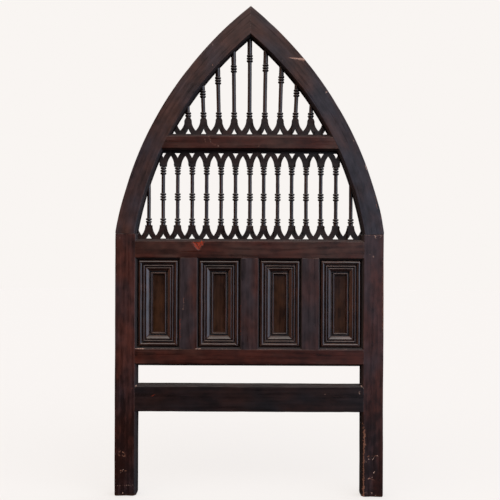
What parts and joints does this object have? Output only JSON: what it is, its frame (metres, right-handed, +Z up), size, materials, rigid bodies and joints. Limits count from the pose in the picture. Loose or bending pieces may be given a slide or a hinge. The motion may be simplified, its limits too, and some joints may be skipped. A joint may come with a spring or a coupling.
{
  "type": "arched wooden headboard",
  "caption": "Pointed-arch headboard of dark stained hardwood, with turned spindle galleries, fretted arcade strips, panels framed by mitred mouldings, and straight legs.",
  "frame": {"origin": "on the floor, midway between the two legs and midway between the front and back faces", "axes": "+Z up, +X to the viewer's right when facing the moulded front, +Y towards the plain back"},
  "size_m": [1.07, 0.05, 1.9545],
  "materials": {
    "post_wood": "dark reddish brown stain, satin, worn at the edges",
    "arch_wood": "dark grey-brown stain, satin",
    "rail_wood": "dark reddish brown stain, satin",
    "stretcher_wood": "near-black stain, satin",
    "muntin_wood": "dark brown stain, satin",
    "moulding_wood": "dark brown stain, polished on the crests",
    "board_wood": "warm dark brown stain, satin, fine grain",
    "fret_wood": "near-black brown stain, satin",
    "spindle_wood": "dark brown stain, satin"
  },
  "bodies": {
    "root": {"left_post": "post_wood", "right_post": "post_wood", "left_arch": "arch_wood", "right_arch": "arch_wood", "bottom_rail": "stretcher_wood", "lower_panel_rail": "rail_wood", "middle_rail": "rail_wood", "cross_rail": "rail_wood", "muntin_1": "muntin_wood", "muntin_2": "muntin_wood", "muntin_3": "muntin_wood", "panel_board_1": "board_wood", "panel_board_2": "board_wood", "panel_board_3": "board_wood", "panel_board_4": "board_wood", "panel_1_top_moulding": "moulding_wood", "panel_1_right_moulding": "moulding_wood", "panel_1_bottom_moulding": "moulding_wood", "panel_1_left_moulding": "moulding_wood", "panel_2_top_moulding": "moulding_wood", "panel_2_right_moulding": "moulding_wood", "panel_2_bottom_moulding": "moulding_wood", "panel_2_left_moulding": "moulding_wood", "panel_3_top_moulding": "moulding_wood", "panel_3_right_moulding": "moulding_wood", "panel_3_bottom_moulding": "moulding_wood", "panel_3_left_moulding": "moulding_wood", "panel_4_top_moulding": "moulding_wood", "panel_4_right_moulding": "moulding_wood", "panel_4_bottom_moulding": "moulding_wood", "panel_4_left_moulding": "moulding_wood", "lower_fret_bottom": "fret_wood", "lower_fret_top": "fret_wood", "upper_fret": "fret_wood", "lower_spindle_1": "spindle_wood", "lower_spindle_2": "spindle_wood", "lower_spindle_3": "spindle_wood", "lower_spindle_4": "spindle_wood", "lower_spindle_5": "spindle_wood", "lower_spindle_6": "spindle_wood", "lower_spindle_7": "spindle_wood", "lower_spindle_8": "spindle_wood", "lower_spindle_9": "spindle_wood", "lower_spindle_10": "spindle_wood", "lower_spindle_11": "spindle_wood", "lower_spindle_12": "spindle_wood", "lower_spindle_13": "spindle_wood", "lower_spindle_14": "spindle_wood", "lower_spindle_15": "spindle_wood", "upper_spindle_1": "spindle_wood", "upper_spindle_2": "spindle_wood", "upper_spindle_3": "spindle_wood", "upper_spindle_4": "spindle_wood", "upper_spindle_5": "spindle_wood", "upper_spindle_6": "spindle_wood", "upper_spindle_7": "spindle_wood", "upper_spindle_8": "spindle_wood", "upper_spindle_9": "spindle_wood"}
  },
  "joints": []
}
